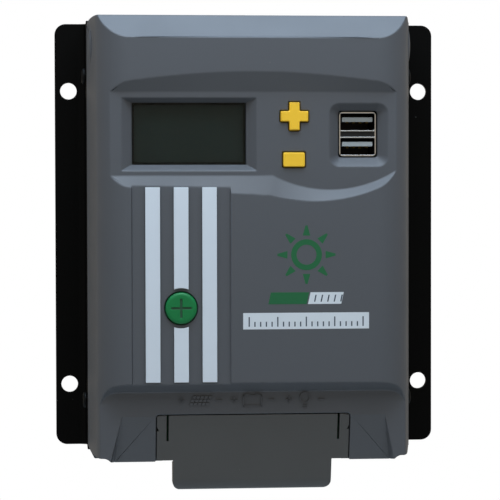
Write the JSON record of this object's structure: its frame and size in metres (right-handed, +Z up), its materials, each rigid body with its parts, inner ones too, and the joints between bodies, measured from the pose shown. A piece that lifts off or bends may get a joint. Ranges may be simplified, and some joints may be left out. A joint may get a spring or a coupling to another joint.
{
  "type": "solar charge controller",
  "caption": "Wall-mounted solar charge controller: aluminium base, stepped plastic cover, display, buttons, USB sockets, and wire terminals under a cover that slides off.",
  "frame": {"origin": "middle of the four mounting holes, in the plane of the wall", "axes": "+Y into the wall (the front faces -Y), +Z up, +X to the right seen from the front"},
  "size_m": [0.1384, 0.0444, 0.1676],
  "materials": {
    "black_aluminium": "satin black anodised extrusion",
    "cover_plastic": "satin grey moulded ABS with a fine spark texture",
    "dark_plastic": "satin dark grey moulded ABS",
    "glass": "clear gloss display window",
    "liquid_crystal": "dark grey-green reflective display, switched off",
    "white_plastic": "white moulded light guide",
    "yellow_rubber": "matt yellow silicone rubber",
    "green_plastic": "satin green moulded plastic",
    "silver_plastic": "satin silver-grey painted plastic",
    "steel": "bright nickel-plated steel",
    "black_steel": "blackened steel",
    "tongue_plastic": "light grey moulded plastic",
    "circuit_board": "green glass-epoxy board, solder mask",
    "black_plastic": "black moulded plastic",
    "terminal_plastic": "green moulded nylon",
    "aluminium_can": "bare drawn aluminium can",
    "ferrite": "dark ferrite ceramic",
    "copper": null
  },
  "bodies": {
    "housing": {"board_connector": "black_plastic", "board_screw_1": "steel", "board_screw_2": "steel", "board_screw_3": "steel", "board_screw_4": "steel", "capacitor_1": "aluminium_can", "capacitor_2": "aluminium_can", "capacitor_3": "aluminium_can", "control_board": "circuit_board", "control_board_screw_1": "steel", "control_board_screw_2": "steel", "controller_chip": "black_plastic", "cover_screw_1": "black_steel", "cover_screw_2": "black_steel", "cover_screw_3": "black_steel", "cover_screw_4": "black_steel", "front_cover": "cover_plastic", "heatsink_base": "black_aluminium", "inductor_core": "ferrite", "inductor_winding": "copper", "lcd_backlight": "white_plastic", "lcd_panel": "liquid_crystal", "lcd_window": "glass", "main_board": "circuit_board", "menu_switch_body": "black_plastic", "minus_switch_body": "black_plastic", "mosfet_1": "black_plastic", "mosfet_2": "black_plastic", "mosfet_3": "black_plastic", "mosfet_4": "black_plastic", "mosfet_clamp_bar": "steel", "plus_switch_body": "black_plastic", "stripe_left": "silver_plastic", "stripe_middle_lower": "silver_plastic", "stripe_middle_upper": "silver_plastic", "stripe_right": "silver_plastic", "terminal_block": "terminal_plastic", "usb_insulator_lower": "tongue_plastic", "usb_insulator_upper": "tongue_plastic", "usb_shell": "steel"},
    "terminal_cover": {"terminal_cover": "dark_plastic"},
    "plus_button": {"plus_button": "yellow_rubber", "plus_switch_plunger": "black_plastic"},
    "minus_button": {"minus_button": "yellow_rubber", "minus_switch_plunger": "black_plastic"},
    "menu_button": {"menu_button": "green_plastic", "menu_switch_plunger": "black_plastic"},
    "terminal_screw_1": {"terminal_screw_1": "steel"},
    "terminal_clamp_1": {"terminal_clamp_1": "steel"},
    "terminal_screw_2": {"terminal_screw_2": "steel"},
    "terminal_clamp_2": {"terminal_clamp_2": "steel"},
    "terminal_screw_3": {"terminal_screw_3": "steel"},
    "terminal_clamp_3": {"terminal_clamp_3": "steel"},
    "terminal_screw_4": {"terminal_screw_4": "steel"},
    "terminal_clamp_4": {"terminal_clamp_4": "steel"},
    "terminal_screw_5": {"terminal_screw_5": "steel"},
    "terminal_clamp_5": {"terminal_clamp_5": "steel"},
    "terminal_screw_6": {"terminal_screw_6": "steel"},
    "terminal_clamp_6": {"terminal_clamp_6": "steel"}
  },
  "joints": [
    {"name": "terminal_cover_slide", "type": "slide", "parent": "housing", "child": "terminal_cover", "axis": [0, 0, -1], "range_m": [0, 0.03]},
    {"name": "plus_button_press", "type": "slide", "parent": "housing", "child": "plus_button", "axis": [0, 1, 0], "range_m": [0, 0.0006], "stiffness_N_per_m": 1500},
    {"name": "minus_button_press", "type": "slide", "parent": "housing", "child": "minus_button", "axis": [0, 1, 0], "range_m": [0, 0.0006], "stiffness_N_per_m": 1500},
    {"name": "menu_button_press", "type": "slide", "parent": "housing", "child": "menu_button", "axis": [0, 1, 0], "range_m": [0, 0.0006], "stiffness_N_per_m": 1500},
    {"name": "terminal_screw_1_turn", "type": "hinge", "parent": "housing", "child": "terminal_screw_1", "pos_m": [-0.0255, -0.026, -0.0705], "axis": [0, 1, 0], "range_deg": [0, 1800]},
    {"name": "terminal_clamp_1_rise", "type": "slide", "parent": "housing", "child": "terminal_clamp_1", "axis": [0, -1, 0], "range_m": [0, 0.004]},
    {"name": "terminal_screw_2_turn", "type": "hinge", "parent": "housing", "child": "terminal_screw_2", "pos_m": [-0.0153, -0.026, -0.0705], "axis": [0, 1, 0], "range_deg": [0, 1800]},
    {"name": "terminal_clamp_2_rise", "type": "slide", "parent": "housing", "child": "terminal_clamp_2", "axis": [0, -1, 0], "range_m": [0, 0.004]},
    {"name": "terminal_screw_3_turn", "type": "hinge", "parent": "housing", "child": "terminal_screw_3", "pos_m": [-0.0051, -0.026, -0.0705], "axis": [0, 1, 0], "range_deg": [0, 1800]},
    {"name": "terminal_clamp_3_rise", "type": "slide", "parent": "housing", "child": "terminal_clamp_3", "axis": [0, -1, 0], "range_m": [0, 0.004]},
    {"name": "terminal_screw_4_turn", "type": "hinge", "parent": "housing", "child": "terminal_screw_4", "pos_m": [0.0051, -0.026, -0.0705], "axis": [0, 1, 0], "range_deg": [0, 1800]},
    {"name": "terminal_clamp_4_rise", "type": "slide", "parent": "housing", "child": "terminal_clamp_4", "axis": [0, -1, 0], "range_m": [0, 0.004]},
    {"name": "terminal_screw_5_turn", "type": "hinge", "parent": "housing", "child": "terminal_screw_5", "pos_m": [0.0153, -0.026, -0.0705], "axis": [0, 1, 0], "range_deg": [0, 1800]},
    {"name": "terminal_clamp_5_rise", "type": "slide", "parent": "housing", "child": "terminal_clamp_5", "axis": [0, -1, 0], "range_m": [0, 0.004]},
    {"name": "terminal_screw_6_turn", "type": "hinge", "parent": "housing", "child": "terminal_screw_6", "pos_m": [0.0255, -0.026, -0.0705], "axis": [0, 1, 0], "range_deg": [0, 1800]},
    {"name": "terminal_clamp_6_rise", "type": "slide", "parent": "housing", "child": "terminal_clamp_6", "axis": [0, -1, 0], "range_m": [0, 0.004]}
  ],
  "couplings": [
    {"joint": "terminal_screw_1_turn", "follows": "terminal_clamp_1_rise", "rad_per_m": 7854},
    {"joint": "terminal_screw_2_turn", "follows": "terminal_clamp_2_rise", "rad_per_m": 7854},
    {"joint": "terminal_screw_3_turn", "follows": "terminal_clamp_3_rise", "rad_per_m": 7854},
    {"joint": "terminal_screw_4_turn", "follows": "terminal_clamp_4_rise", "rad_per_m": 7854},
    {"joint": "terminal_screw_5_turn", "follows": "terminal_clamp_5_rise", "rad_per_m": 7854},
    {"joint": "terminal_screw_6_turn", "follows": "terminal_clamp_6_rise", "rad_per_m": 7854}
  ]
}
